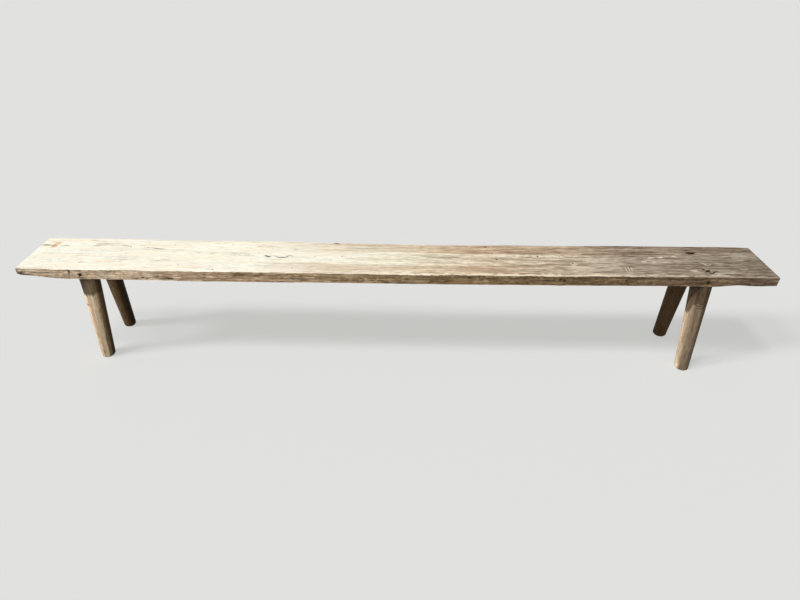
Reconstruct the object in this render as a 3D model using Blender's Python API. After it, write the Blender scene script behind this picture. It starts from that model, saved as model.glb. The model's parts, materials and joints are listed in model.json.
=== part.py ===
"""Long bench: one hand-hewn plank standing on four splayed round legs.

Each leg ends in a round tenon that goes right through the plank. A wedge driven into
a saw kerf from above spreads the tenon, and a peg driven in through the plank's long
edge pins it.

Lengths are in metres. +X runs along the bench, -Y points to its front edge, +Z is up,
and the origin is on the floor under the middle of the bench.
"""

import math
from collections import namedtuple

import bmesh
import bpy
from mathutils import Matrix, Vector

# Seat plank
SEAT_LENGTH = 2.93
SEAT_WIDTH = 0.258
SEAT_HEIGHT = 0.44
SEAT_MIDDLE_Y = 0.010
PLANK_THICKNESS = 0.045
LEFT_END_THICKNESS = 0.030
RIGHT_END_THICKNESS = 0.037
END_TAPER_LENGTH = 0.185
ARRIS_RADIUS = 0.006
ARRIS_STEPS = 2
PLANK_STATIONS = 60

# How far the hewn edges lie inside the full width: place along the plank, from -1 at
# its left end to 1 at its right end, and the inset there
FRONT_EDGE = (
    (-1.0, 0.002),
    (-0.96, 0.001),
    (0.05, 0.0),
    (0.40, 0.004),
    (0.68, 0.010),
    (0.96, 0.008),
    (1.0, 0.007),
)
BACK_EDGE = (
    (-1.0, 0.006),
    (-0.95, 0.001),
    (-0.76, 0.003),
    (-0.58, 0.007),
    (-0.36, 0.003),
    (-0.23, 0.011),
    (0.10, 0.018),
    (0.40, 0.011),
    (0.68, 0.003),
    (0.96, 0.001),
    (1.0, 0.005),
)

# Legs, each a taper with flats shaved on it
LEG_TOP_RADIUS = 0.0385
LEG_FOOT_RADIUS = 0.0270
LEG_FLATS = 12
LEG_FLAT_SOFTENING = 0.004
FOOT_CHAMFER = 0.003

# Where the legs stand under the plank, and how far their feet splay out
LEG_FROM_END = 0.250
LEG_FROM_EDGE = 0.0525
SPLAY_ALONG = 0.010
SPLAY_ACROSS = 0.030

# Round tenons through the plank
TENON_RADIUS = 0.0225
TENON_SIDES = 32
TENON_SET_BACK = 0.0005

# Wedges in the tenons
WEDGE_THICKNESS = 0.0056
WEDGE_TIP_THICKNESS = 0.0016
WEDGE_DEPTH = 0.028
WEDGE_SET_BACK = 0.0012

# Pegs through the plank's long edges
PEG_RADIUS = 0.006
PEG_SIDES = 16
PEG_DROP = 0.027
PEG_SET_IN = 0.008
PEG_BITE = 0.014
PEG_SHIFT = 0.003

# Gap between pieces that touch, and how far a cutter runs past what it cuts
FIT_GAP = 0.0003
OVERRUN = 0.02

# Each leg: its name, and the end and the side of the plank that it is under. Then, as
# shares of the sizes above: its distance from the end, its splay along and across the
# bench, its fullness, how deep its wedge has sunk and how far its peg sits to the
# right. The last value is the turn of its wedge in degrees.
Leg = namedtuple("Leg", "name end side from_end along across full sunk peg_shift turn")
LEGS = (
    Leg("front_left", -1, -1, 0.97, 1.8, 0.90, 0.98, 1.0, -1.0, 6),
    Leg("front_right", 1, -1, 1.05, 1.0, 1.70, 1.04, 1.5, 1.0, -14),
    Leg("back_left", -1, 1, 0.97, 1.1, 1.18, 0.93, 0.5, 0.0, -9),
    Leg("back_right", 1, 1, 1.04, -0.3, 0.80, 1.04, 7.0, 0.0, 4),
)

# Colours as linear RGB, and roughness
PLANK_COLOUR = (0.56, 0.47, 0.35, 1.0)
LEG_COLOUR = (0.40, 0.28, 0.17, 1.0)
WEDGE_COLOUR = (0.33, 0.22, 0.13, 1.0)
PEG_COLOUR = (0.10, 0.065, 0.04, 1.0)
WOOD_ROUGHNESS = 0.75


def clear_scene():
    for obj in list(bpy.data.objects):
        bpy.data.objects.remove(obj, do_unlink=True)


def new_collection(name):
    collection = bpy.data.collections.new(name)
    bpy.context.scene.collection.children.link(collection)
    return collection


def new_material(name, colour):
    material = bpy.data.materials.new(name)
    material.use_nodes = True
    shader = material.node_tree.nodes["Principled BSDF"]
    shader.inputs["Base Color"].default_value = colour
    shader.inputs["Roughness"].default_value = WOOD_ROUGHNESS
    shader.inputs["Metallic"].default_value = 0.0
    material.diffuse_color = colour
    return material


def new_object(name, bm, collection, material=None, place=None):
    bmesh.ops.recalc_face_normals(bm, faces=bm.faces)
    mesh = bpy.data.meshes.new(name)
    bm.to_mesh(mesh)
    bm.free()
    if material:
        mesh.materials.append(material)
    obj = bpy.data.objects.new(name, mesh)
    if place:
        obj.matrix_world = place
    collection.objects.link(obj)
    return obj


def new_cutter(name, bm, collection, place=None):
    cutter = new_object(name, bm, collection, place=place)
    cutter.hide_render = True
    cutter.display_type = "WIRE"
    return cutter


def add_boolean(obj, tool, operation):
    modifier = obj.modifiers.new(tool.name, "BOOLEAN")
    modifier.operation = operation
    modifier.solver = "EXACT"
    modifier.object = tool


def cut_flat(bm, point, outward):
    """Cut everything past a plane away and close the solid there."""
    geometry = bm.verts[:] + bm.edges[:] + bm.faces[:]
    bmesh.ops.bisect_plane(
        bm, geom=geometry, plane_co=point, plane_no=outward, clear_outer=True
    )
    rim = [edge for edge in bm.edges if edge.is_boundary]
    bmesh.ops.holes_fill(bm, edges=rim)


def rod(radius_low, radius_high, low, high, sides):
    """A straight or tapered round rod along Z, from low to high."""
    bm = bmesh.new()
    bmesh.ops.create_cone(
        bm,
        cap_ends=True,
        segments=sides,
        radius1=radius_low,
        radius2=radius_high,
        depth=high - low,
    )
    bmesh.ops.translate(bm, vec=(0, 0, (low + high) / 2), verts=bm.verts)
    return bm


def ease(share):
    """Smooth step from 0 to 1."""
    share = min(1.0, max(0.0, share))
    return share * share * (3 - 2 * share)


def edge_inset(edge, place):
    """The inset of a hewn edge at a place from -1 to 1 along the plank."""
    for (start, inset), (end, next_inset) in zip(edge, edge[1:]):
        if place <= end:
            return inset + (next_inset - inset) * ease((place - start) / (end - start))
    return edge[-1][1]


def edge_distance(x, side):
    """How far the hewn edge on a side lies from the plank's centre line."""
    edge = FRONT_EDGE if side < 0 else BACK_EDGE
    return SEAT_WIDTH / 2 - edge_inset(edge, x / (SEAT_LENGTH / 2))


def thickness_at(x):
    """The plank's thickness, thinner towards both ends."""
    end_thickness = LEFT_END_THICKNESS if x < 0 else RIGHT_END_THICKNESS
    into_taper = abs(x) - (SEAT_LENGTH / 2 - END_TAPER_LENGTH)
    share = ease(into_taper / END_TAPER_LENGTH)
    return PLANK_THICKNESS + (end_thickness - PLANK_THICKNESS) * share


def hewn(point):
    """Move a point of the squared plank to its place in the hewn one."""
    side = -1 if point.y < 0 else 1
    y = SEAT_MIDDLE_Y + point.y * edge_distance(point.x, side) / (SEAT_WIDTH / 2)
    depth = (PLANK_THICKNESS / 2 - point.z) * thickness_at(point.x) / PLANK_THICKNESS
    return Vector((point.x, y, SEAT_HEIGHT - depth))


def make_plank(collection, material):
    bm = bmesh.new()
    bmesh.ops.create_cube(bm, size=1.0)
    bmesh.ops.scale(bm, vec=(SEAT_LENGTH, SEAT_WIDTH, PLANK_THICKNESS), verts=bm.verts)
    arrises = [
        edge
        for edge in bm.edges
        if abs(edge.verts[0].co.z - edge.verts[1].co.z) < PLANK_THICKNESS / 2
    ]
    bmesh.ops.bevel(
        bm,
        geom=arrises,
        offset=ARRIS_RADIUS,
        segments=ARRIS_STEPS,
        profile=0.5,
        affect="EDGES",
        material=-1,
    )
    long_edges = [
        edge
        for edge in bm.edges
        if abs(edge.verts[0].co.x - edge.verts[1].co.x) > SEAT_LENGTH / 2
    ]
    bmesh.ops.subdivide_edges(bm, edges=long_edges, cuts=PLANK_STATIONS - 1)
    for vert in bm.verts:
        vert.co = hewn(vert.co)
    return new_object("seat_plank", bm, collection, material)


def leg_points(leg):
    """Where a leg's axis meets the floor and the plank's underside."""
    x = leg.end * (SEAT_LENGTH / 2 - leg.from_end * LEG_FROM_END)
    y = SEAT_MIDDLE_Y + leg.side * (SEAT_WIDTH / 2 - LEG_FROM_EDGE)
    out_x = leg.end * leg.along * SPLAY_ALONG
    out_y = leg.side * leg.across * SPLAY_ACROSS
    top = Vector((x, y, SEAT_HEIGHT - PLANK_THICKNESS))
    foot = Vector((x + out_x, y + out_y, 0))
    return foot, top


def axis_at(leg, z):
    """The point of a leg's axis at a height."""
    foot, top = leg_points(leg)
    return foot + (top - foot) * (z / top.z)


def leg_frame(leg):
    """Z runs up the leg's axis, X along its wedge, and the origin is at the seat's top."""
    foot, top = leg_points(leg)
    up = (top - foot).normalized()
    turn = math.radians(leg.turn)
    along = Vector((math.cos(turn), math.sin(turn), 0))
    across = up.cross(along).normalized()
    along = across.cross(up)
    frame = Matrix((along, across, up)).transposed().to_4x4()
    frame.translation = axis_at(leg, SEAT_HEIGHT)
    return frame


def make_shaft(leg, collection, material):
    """The leg below the plank: a flatted taper cut level at the floor and the plank."""
    foot, top = leg_points(leg)
    frame = leg_frame(leg)
    inverse = frame.inverted()
    low = (inverse @ foot).z
    high = (inverse @ top).z
    slope = (LEG_TOP_RADIUS - LEG_FOOT_RADIUS) / (high - low)
    bm = rod(
        (LEG_FOOT_RADIUS - slope * OVERRUN) * leg.full,
        (LEG_TOP_RADIUS + slope * OVERRUN) * leg.full,
        low - OVERRUN,
        high + OVERRUN,
        LEG_FLATS,
    )
    corners = [
        edge
        for edge in bm.edges
        if abs(edge.verts[0].co.z - edge.verts[1].co.z) > (high - low) / 2
    ]
    bmesh.ops.bevel(
        bm,
        geom=corners,
        offset=LEG_FLAT_SOFTENING,
        segments=1,
        profile=0.5,
        affect="EDGES",
        material=-1,
    )
    bmesh.ops.transform(bm, matrix=frame, verts=bm.verts)
    shoulder = SEAT_HEIGHT - PLANK_THICKNESS - FIT_GAP
    cut_flat(bm, (0, 0, 0), (0, 0, -1))
    cut_flat(bm, (0, 0, shoulder), (0, 0, 1))
    foot_rim = [
        edge
        for edge in bm.edges
        if max(abs(edge.verts[0].co.z), abs(edge.verts[1].co.z)) < FIT_GAP
    ]
    bmesh.ops.bevel(
        bm,
        geom=foot_rim,
        offset=FOOT_CHAMFER,
        segments=1,
        profile=0.5,
        affect="EDGES",
        material=-1,
    )
    return new_object("leg_" + leg.name, bm, collection, material)


def make_tenon(leg, collection):
    """The tenon, from inside the shaft to just under the seat's top."""
    frame = leg_frame(leg)
    bm = rod(TENON_RADIUS, TENON_RADIUS, -PLANK_THICKNESS - OVERRUN, OVERRUN, TENON_SIDES)
    bmesh.ops.transform(bm, matrix=frame, verts=bm.verts)
    cut_flat(bm, (0, 0, SEAT_HEIGHT - TENON_SET_BACK), (0, 0, 1))
    return new_cutter("tenon_" + leg.name, bm, collection)


def make_mortise(leg, collection):
    radius = TENON_RADIUS + FIT_GAP
    bm = rod(radius, radius, -PLANK_THICKNESS - OVERRUN, OVERRUN, TENON_SIDES)
    return new_cutter("mortise_" + leg.name, bm, collection, leg_frame(leg))


def wedge_width():
    """As wide as the mortise lets a wedge of full thickness be."""
    flat_to_axis = (TENON_RADIUS + FIT_GAP) * math.cos(math.pi / TENON_SIDES)
    return 2 * math.sqrt((flat_to_axis - FIT_GAP) ** 2 - (WEDGE_THICKNESS / 2) ** 2)


def taper_block(width, gap, depth):
    """A block along X whose sides close in downwards as the wedge's do, plus a gap."""
    slope = (WEDGE_THICKNESS - WEDGE_TIP_THICKNESS) / WEDGE_DEPTH
    bm = bmesh.new()
    bmesh.ops.create_cube(bm, size=1.0)
    for vert in bm.verts:
        z = OVERRUN if vert.co.z > 0 else -depth
        thickness = WEDGE_THICKNESS + slope * z + 2 * gap
        vert.co = Vector((vert.co.x * width, vert.co.y * thickness, z))
    return bm


def make_wedge(leg, collection, material):
    bm = taper_block(wedge_width(), 0.0, WEDGE_DEPTH)
    bmesh.ops.transform(bm, matrix=leg_frame(leg), verts=bm.verts)
    cut_flat(bm, (0, 0, SEAT_HEIGHT - leg.sunk * WEDGE_SET_BACK), (0, 0, 1))
    return new_object("wedge_" + leg.name, bm, collection, material)


def make_kerf(leg, collection):
    across_tenon = 2 * (TENON_RADIUS + OVERRUN)
    bm = taper_block(across_tenon, FIT_GAP, WEDGE_DEPTH + FIT_GAP)
    return new_cutter("kerf_" + leg.name, bm, collection, leg_frame(leg))


def peg_frame(leg):
    """Z runs from the tenon's axis out through the plank's nearer long edge."""
    centre = axis_at(leg, SEAT_HEIGHT - PEG_DROP)
    centre.x += leg.peg_shift * PEG_SHIFT
    turn = Matrix.Rotation(-leg.side * math.pi / 2, 4, "X")
    return Matrix.Translation(centre) @ turn


def peg_reach(leg):
    """How far from the tenon's axis the peg starts and ends."""
    centre = axis_at(leg, SEAT_HEIGHT - PEG_DROP)
    edge = edge_distance(centre.x + leg.peg_shift * PEG_SHIFT, leg.side)
    outer = edge - abs(centre.y - SEAT_MIDDLE_Y)
    return TENON_RADIUS - PEG_BITE, outer - PEG_SET_IN


def make_peg(leg, collection, material):
    inner, outer = peg_reach(leg)
    bm = rod(PEG_RADIUS, PEG_RADIUS, inner, outer, PEG_SIDES)
    bmesh.ops.transform(bm, matrix=peg_frame(leg), verts=bm.verts)
    return new_object("peg_" + leg.name, bm, collection, material)


def make_peg_hole(leg, collection):
    inner, outer = peg_reach(leg)
    radius = PEG_RADIUS + FIT_GAP
    bm = rod(radius, radius, inner - FIT_GAP, outer + PEG_SET_IN + OVERRUN, PEG_SIDES)
    return new_cutter("peg_hole_" + leg.name, bm, collection, peg_frame(leg))


def smooth_round_faces(obj):
    obj.data.shade_smooth()
    obj.data.set_sharp_from_angle(angle=math.radians(30))


def build():
    clear_scene()
    parts = new_collection("long_bench")
    cutters = new_collection("cutters")
    plank_wood = new_material("plank_wood", PLANK_COLOUR)
    leg_wood = new_material("leg_wood", LEG_COLOUR)
    wedge_wood = new_material("wedge_wood", WEDGE_COLOUR)
    peg_wood = new_material("peg_wood", PEG_COLOUR)

    plank = make_plank(parts, plank_wood)
    for leg in LEGS:
        shaft = make_shaft(leg, parts, leg_wood)
        peg_hole = make_peg_hole(leg, cutters)
        add_boolean(shaft, make_tenon(leg, cutters), "UNION")
        add_boolean(shaft, make_kerf(leg, cutters), "DIFFERENCE")
        add_boolean(shaft, peg_hole, "DIFFERENCE")
        add_boolean(plank, make_mortise(leg, cutters), "DIFFERENCE")
        add_boolean(plank, peg_hole, "DIFFERENCE")
        peg = make_peg(leg, parts, peg_wood)
        make_wedge(leg, parts, wedge_wood)
        smooth_round_faces(shaft)
        smooth_round_faces(peg)
    smooth_round_faces(plank)


build()
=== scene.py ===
"""Long bench: a hand-hewn, sun-bleached plank on four shaved legs, with its finish.

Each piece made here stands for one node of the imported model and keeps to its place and
size. Lengths are in metres. +X runs along the bench, -Y points to its front edge, +Z is
up, and the origin is on the floor under the middle of the bench.
"""

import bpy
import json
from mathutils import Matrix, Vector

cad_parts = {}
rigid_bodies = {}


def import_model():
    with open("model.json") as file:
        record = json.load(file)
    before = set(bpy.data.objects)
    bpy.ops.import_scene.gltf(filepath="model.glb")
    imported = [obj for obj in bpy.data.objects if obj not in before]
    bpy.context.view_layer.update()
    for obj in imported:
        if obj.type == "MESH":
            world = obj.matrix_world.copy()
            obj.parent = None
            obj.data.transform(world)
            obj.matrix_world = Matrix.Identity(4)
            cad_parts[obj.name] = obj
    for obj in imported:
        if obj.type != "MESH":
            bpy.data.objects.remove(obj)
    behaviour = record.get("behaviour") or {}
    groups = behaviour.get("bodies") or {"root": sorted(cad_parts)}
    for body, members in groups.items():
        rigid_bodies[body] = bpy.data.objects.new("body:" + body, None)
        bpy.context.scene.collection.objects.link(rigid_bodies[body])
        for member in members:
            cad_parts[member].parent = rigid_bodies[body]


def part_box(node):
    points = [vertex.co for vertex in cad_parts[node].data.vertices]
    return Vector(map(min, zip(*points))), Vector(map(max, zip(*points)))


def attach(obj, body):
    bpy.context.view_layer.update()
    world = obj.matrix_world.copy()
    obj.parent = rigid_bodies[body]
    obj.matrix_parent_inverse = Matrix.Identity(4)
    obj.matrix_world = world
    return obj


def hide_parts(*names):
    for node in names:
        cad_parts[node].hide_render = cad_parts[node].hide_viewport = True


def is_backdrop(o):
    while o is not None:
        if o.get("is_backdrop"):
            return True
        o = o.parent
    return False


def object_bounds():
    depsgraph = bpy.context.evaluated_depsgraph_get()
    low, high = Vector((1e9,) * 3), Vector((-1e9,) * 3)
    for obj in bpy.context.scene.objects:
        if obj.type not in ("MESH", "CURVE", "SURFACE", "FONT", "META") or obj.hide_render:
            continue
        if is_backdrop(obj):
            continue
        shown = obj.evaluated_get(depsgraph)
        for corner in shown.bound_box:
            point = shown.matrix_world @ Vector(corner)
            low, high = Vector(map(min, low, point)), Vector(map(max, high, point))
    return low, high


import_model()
cad_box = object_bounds()

import inspect
import json
import math
from collections import namedtuple

import bmesh
import bpy
from mathutils import Matrix, Vector, noise

scene = bpy.context.scene
seat_low, seat_high = (Vector(corner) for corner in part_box("seat_plank"))

# Seat plank
SEAT_LENGTH = seat_high.x - seat_low.x
HALF_LENGTH = SEAT_LENGTH / 2
SEAT_HEIGHT = seat_high.z
PLANK_THICKNESS = seat_high.z - seat_low.z
UNDERSIDE = SEAT_HEIGHT - PLANK_THICKNESS
SEAT_WIDTH = 0.258
HALF_WIDTH = SEAT_WIDTH / 2
SEAT_MIDDLE_Y = seat_low.y + HALF_WIDTH
LEFT_END_THICKNESS = 0.030
RIGHT_END_THICKNESS = 0.039
END_TAPER_LENGTH = 0.185
TOP_ARRIS = 0.0036
LOW_ARRIS = 0.0020
ARRIS_STEPS = 3
STEP_ALONG = 0.005
STEP_ACROSS = 0.007
STEP_DOWN = 0.0045

# How far the hewn edges lie inside the full width: place along the plank, from -1 at
# its left end to 1 at its right end, and the inset there
FRONT_EDGE = (
    (-1.0, 0.002), (-0.96, 0.001), (0.05, 0.0), (0.40, 0.004), (0.68, 0.011),
    (0.96, 0.013), (1.0, 0.014),
)
BACK_EDGE = (
    (-1.0, 0.006), (-0.95, 0.001), (-0.76, 0.003), (-0.58, 0.007), (-0.36, 0.003),
    (-0.23, 0.011), (0.10, 0.018), (0.40, 0.011), (0.68, 0.003), (0.96, 0.001), (1.0, 0.005),
)

# Hollow under the front edge near the right end, and the thin nose at the left end
HOLLOW_X = 1.318
HOLLOW_REACH = 0.085
HOLLOW_DEPTH = 0.0060
NOSE_REACH = 0.012
NOSE_DEPTH = 0.006

# Fuller stretch of the underside left of the middle, and how far the ends run out of
# square at their front corners
BELLY_X = -0.66
BELLY_REACH = 0.42
BELLY_DEPTH = 0.0028
SKEW_REACH = 0.12
LEFT_SKEW = 0.004
RIGHT_SKEW = 0.007

# Legs, each a taper with flats shaved on it
LEG_TOP_RADIUS = 0.0385
LEG_FOOT_RADIUS = 0.0270
LEG_FLATS = 12
LEG_SIDES = 96
LEG_RINGS = 130
FLAT_SHARPNESS = 0.8
FOOT_RINGS = 6
LEG_FROM_END = 0.250
LEG_FROM_EDGE = 0.0525
SPLAY_ALONG = 0.010
SPLAY_ACROSS = 0.030

# Round tenons through the plank, with a wedge in each
TENON_RADIUS = 0.0225
TENON_SIDES = 64
TENON_SET_BACK = 0.0005
WEDGE_THICKNESS = 0.0056
WEDGE_TIP_THICKNESS = 0.0016
WEDGE_DEPTH = 0.028
WEDGE_SET_BACK = 0.0012

# Pegs through the plank's long edges
PEG_RADIUS = 0.006
PEG_DROP = 0.027
PEG_SET_IN = 0.008
PEG_BITE = 0.014
PEG_SHIFT = 0.003
PEG_ROUNDING = 0.0012
PEG_SIDES = 40

FIT_GAP = 0.0003
OVERRUN = 0.02
BORE_DEPTH = 0.008
CRACK_STEPS = 40

Leg = namedtuple(
    "Leg", "name end side from_end along across full sunk peg_shift turn bow rounding"
)
LEGS = (
    Leg("front_left", -1, -1, 0.97, 1.8, 0.90, 0.98, 1.0, -1.0, 6, 0.0030, 0.0070),
    Leg("front_right", 1, -1, 1.05, 1.0, 1.70, 1.04, 1.5, 1.0, -14, 0.0, 0.0050),
    Leg("back_left", -1, 1, 0.97, 1.1, 1.18, 0.93, 0.5, 0.0, -9, 0.0006, 0.0110),
    Leg("back_right", 1, 1, 1.04, -0.3, 0.80, 1.04, 4.0, 0.0, 4, 0.0, 0.0120),
)


# Meshes

def add_object(name, bm, collection):
    mesh = bpy.data.meshes.new(name)
    bm.to_mesh(mesh)
    bm.free()
    obj = bpy.data.objects.new(name, mesh)
    collection.objects.link(obj)
    return obj


def new_piece(name, bm, material, slot, node):
    """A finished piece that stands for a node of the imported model."""
    bmesh.ops.recalc_face_normals(bm, faces=bm.faces)
    piece = add_object(name, bm, scene.collection)
    piece.data.materials.append(material)
    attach(piece, "root")
    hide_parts(node)
    return piece


def new_cutters(name):
    cutters = bpy.data.collections.new(name)
    scene.collection.children.link(cutters)
    return cutters


def add_cutter(cutters, bm, place=None):
    if place:
        turn_to(bm, place)
    bmesh.ops.recalc_face_normals(bm, faces=bm.faces)
    add_object(cutters.name, bm, cutters)


def apply_cutters(piece, cutters, operation="DIFFERENCE"):
    """Cut the collection's solids out of a piece, or join them to it, for good."""
    modifier = piece.modifiers.new(cutters.name, "BOOLEAN")
    modifier.operand_type = "COLLECTION"
    modifier.collection = cutters
    modifier.operation = operation
    modifier.solver = "EXACT"
    depsgraph = bpy.context.evaluated_depsgraph_get()
    mesh = bpy.data.meshes.new_from_object(piece.evaluated_get(depsgraph))
    piece.modifiers.clear()
    piece.data = mesh
    for cutter in list(cutters.objects):
        bpy.data.objects.remove(cutter, do_unlink=True)
    bpy.data.collections.remove(cutters)


def smooth(piece, angle):
    piece.data.shade_smooth()
    piece.data.set_sharp_from_angle(angle=math.radians(angle))


def turn_to(bm, place):
    bmesh.ops.transform(bm, matrix=place, verts=bm.verts)


def slice_level(bm, height, outward=1, clear=False):
    """Cut every face at a height, and clear what lies past it."""
    geometry = bm.verts[:] + bm.edges[:] + bm.faces[:]
    plane = {"plane_co": (0, 0, height), "plane_no": (0, 0, outward)}
    bmesh.ops.bisect_plane(bm, geom=geometry, clear_outer=clear, **plane)


def cut_level(bm, height, outward=1):
    """Cut off what lies past a height and close the solid there."""
    slice_level(bm, height, outward, True)
    bmesh.ops.holes_fill(bm, edges=[edge for edge in bm.edges if edge.is_boundary])


def split(bm, axis, length, parts):
    """Cut the edges that run along an axis for most of a length into parts."""
    edges = [
        edge
        for edge in bm.edges
        if abs(edge.verts[0].co[axis] - edge.verts[1].co[axis]) > length / 2
    ]
    bmesh.ops.subdivide_edges(bm, edges=edges, cuts=parts - 1, use_grid_fill=True)


def bevel(bm, edges, radius):
    bmesh.ops.bevel(
        bm, geom=edges, offset=radius, segments=ARRIS_STEPS, profile=0.5, affect="EDGES",
        material=-1,
    )


def block(axis=0, parts=1):
    """A cube of size 1 round the origin, in so many parts along an axis."""
    bm = bmesh.new()
    bmesh.ops.create_cube(bm, size=1.0)
    split(bm, axis, 1.0, parts)
    return bm


def rod(radius_low, radius_high, low, high, sides):
    """A straight or tapered round rod along Z, from low to high."""
    bm = bmesh.new()
    radii = {"radius1": radius_low, "radius2": radius_high}
    bmesh.ops.create_cone(bm, cap_ends=True, segments=sides, depth=high - low, **radii)
    bmesh.ops.translate(bm, vec=(0, 0, (low + high) / 2), verts=bm.verts)
    return bm


def ease(share):
    """Smooth step from 0 to 1."""
    share = min(1.0, max(0.0, share))
    return share * share * (3 - 2 * share)


def waver(point, along, across, offset):
    """Smooth noise from about -1 to 1, with its own pace along X and across it."""
    place = (point.x * along + offset, point.y * across, point.z * across)
    return noise.noise(Vector(place))


# Seat plank

def edge_inset(edge, place):
    """The inset of a hewn edge at a place from -1 to 1 along the plank."""
    for (start, inset), (end, next_inset) in zip(edge, edge[1:]):
        if place <= end:
            return inset + (next_inset - inset) * ease((place - start) / (end - start))
    return edge[-1][1]


def edge_distance(x, side):
    """How far the hewn edge on a side lies from the plank's centre line."""
    edge = FRONT_EDGE if side < 0 else BACK_EDGE
    return HALF_WIDTH - edge_inset(edge, x / HALF_LENGTH)


def thickness_at(x, across):
    """The plank's thickness; across runs from -1 at the front to 1 at the back."""
    end_thickness = LEFT_END_THICKNESS if x < 0 else RIGHT_END_THICKNESS
    into_taper = abs(x) - (HALF_LENGTH - END_TAPER_LENGTH)
    share = ease(into_taper / END_TAPER_LENGTH)
    thickness = PLANK_THICKNESS + (end_thickness - PLANK_THICKNESS) * share
    near_front = ease((0.1 - across) / 1.1)
    hollow = HOLLOW_DEPTH * ease(1 - abs(x - HOLLOW_X) / HOLLOW_REACH)
    nose = NOSE_DEPTH * ease((-x - HALF_LENGTH + NOSE_REACH) / NOSE_REACH)
    belly = BELLY_DEPTH * ease(1.4 * (1 - abs(x - BELLY_X) / BELLY_REACH))
    return thickness + belly - (hollow + nose) * near_front


def hewn(point):
    """Move a point of the squared plank to its place in the hewn one."""
    side = -1 if point.y < 0 else 1
    across = point.y / HALF_WIDTH
    y = SEAT_MIDDLE_Y + across * edge_distance(point.x, side)
    depth = PLANK_THICKNESS / 2 - point.z
    depth *= thickness_at(point.x, across) / PLANK_THICKNESS
    near_end = ease(1 - (HALF_LENGTH - abs(point.x)) / SKEW_REACH)
    skew = (RIGHT_SKEW if point.x > 0 else -LEFT_SKEW) * (0.65 - 0.35 * across)
    return Vector((point.x + skew * near_end, y, SEAT_HEIGHT - depth))


def leg_points(leg):
    """Where a leg's axis meets the floor and the plank's underside."""
    x = leg.end * (HALF_LENGTH - leg.from_end * LEG_FROM_END)
    y = SEAT_MIDDLE_Y + leg.side * (HALF_WIDTH - LEG_FROM_EDGE)
    out_x = leg.end * leg.along * SPLAY_ALONG
    out_y = leg.side * leg.across * SPLAY_ACROSS
    return Vector((x + out_x, y + out_y, 0)), Vector((x, y, UNDERSIDE))


def axis_at(leg, z):
    """The point of a leg's axis at a height."""
    foot, top = leg_points(leg)
    return foot + (top - foot) * (z / top.z)


def leg_frame(leg):
    """Z runs up the leg's axis, X along its wedge, and the origin is at the seat's top."""
    foot, top = leg_points(leg)
    up = (top - foot).normalized()
    turn = math.radians(leg.turn)
    across = up.cross(Vector((math.cos(turn), math.sin(turn), 0))).normalized()
    place = Matrix((across.cross(up), across, up)).transposed().to_4x4()
    place.translation = axis_at(leg, SEAT_HEIGHT)
    return place


def underside_relief(point):
    """Shallow scoops of a hewing tool, away from the legs' shoulders."""
    nearest = noise.voronoi(Vector((point.x * 15, point.y * 24, 0)))[0][0]
    scoop = 0.0016 * (nearest - 0.7)
    gap = min((point.xy - leg_points(leg)[1].xy).length for leg in LEGS)
    clear_of_legs = ease((gap - LEG_TOP_RADIUS) / 0.03)
    return (scoop + 0.0003 * waver(point, 20, 120, 5.5) - 0.0006) * clear_of_legs


def top_relief(point):
    """The planed and worn top, nearly flat."""
    swell = 0.0005 * waver(point, 2.5, 11, 3.1)
    return swell + 0.00025 * waver(point, 14, 75, 7.7) - 0.0004


def side_relief(point):
    """The hewn long edges, with split fibres that run lengthwise."""
    swell = 0.0013 * waver(point, 6, 22, 11.3)
    fibres = 1 - abs(waver(point, 5, 150, 19.9)) * 3.2
    tears = 1 - abs(waver(point, 17, 260, 23.2)) * 3.0
    chop = waver(point, 30, 45, 29.4)
    return swell - 0.0020 * ease(fibres) - 0.0010 * ease(tears) + 0.0007 * chop - 0.0006


def end_relief(point):
    """Sawn and weathered end grain."""
    return 0.0005 * waver(point, 40, 90, 31.7) - 0.0003


def arris_chips(point, normal):
    """Bites out of the top's long arrises."""
    on_arris = 4 * max(0.0, normal.z) ** 2 * normal.y**2
    bites = ease((waver(point, 11, 20, 41.3) - 0.16) / 0.35)
    nicks = ease((waver(point, 55, 30, 47.9) - 0.22) / 0.3)
    worn = 0.3 + 0.7 * ease((point.x + 0.3) / 0.6)
    return -on_arris * worn * (0.0022 * bites + 0.0016 * nicks)


def roughen_seat(bm):
    """Give the hewn plank the surface of each side, blended round its arrises."""
    bm.normal_update()
    moves = []
    for vert in bm.verts:
        point, normal = vert.co, vert.normal
        facing_z = top_relief(point) if normal.z > 0 else underside_relief(point)
        move = normal.z**2 * facing_z
        move += normal.y**2 * side_relief(point)
        move += normal.x**2 * end_relief(point)
        move += arris_chips(point, normal)
        moves.append(normal * move)
    for vert, move in zip(bm.verts, moves):
        vert.co += move


def seat_blank():
    bm = block()
    bmesh.ops.scale(bm, vec=(SEAT_LENGTH, SEAT_WIDTH, PLANK_THICKNESS), verts=bm.verts)
    for side, radius in ((1, TOP_ARRIS), (-1, LOW_ARRIS)):
        arrises = [edge for edge in bm.edges if min(v.co.z * side for v in edge.verts) > 0]
        bevel(bm, arrises, radius)
    split(bm, 1, SEAT_WIDTH, round(SEAT_WIDTH / STEP_ACROSS))
    split(bm, 2, PLANK_THICKNESS, round(PLANK_THICKNESS / STEP_DOWN))
    split(bm, 0, SEAT_LENGTH, round(SEAT_LENGTH / STEP_ALONG))
    for vert in bm.verts:
        vert.co = hewn(vert.co)
    return bm


# Where cracks and holes are cut: X and Y of each of these lie in the face, and Z points
# out of it
FACES = {
    "top": Matrix.Translation((0, 0, SEAT_HEIGHT)),
    "front": Matrix.Translation((0, seat_low.y, 0)) @ Matrix.Rotation(math.pi / 2, 4, "X"),
    "under": Matrix.Translation((0, 0, seat_low.z)) @ Matrix.Rotation(math.pi, 4, "X"),
}


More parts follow.
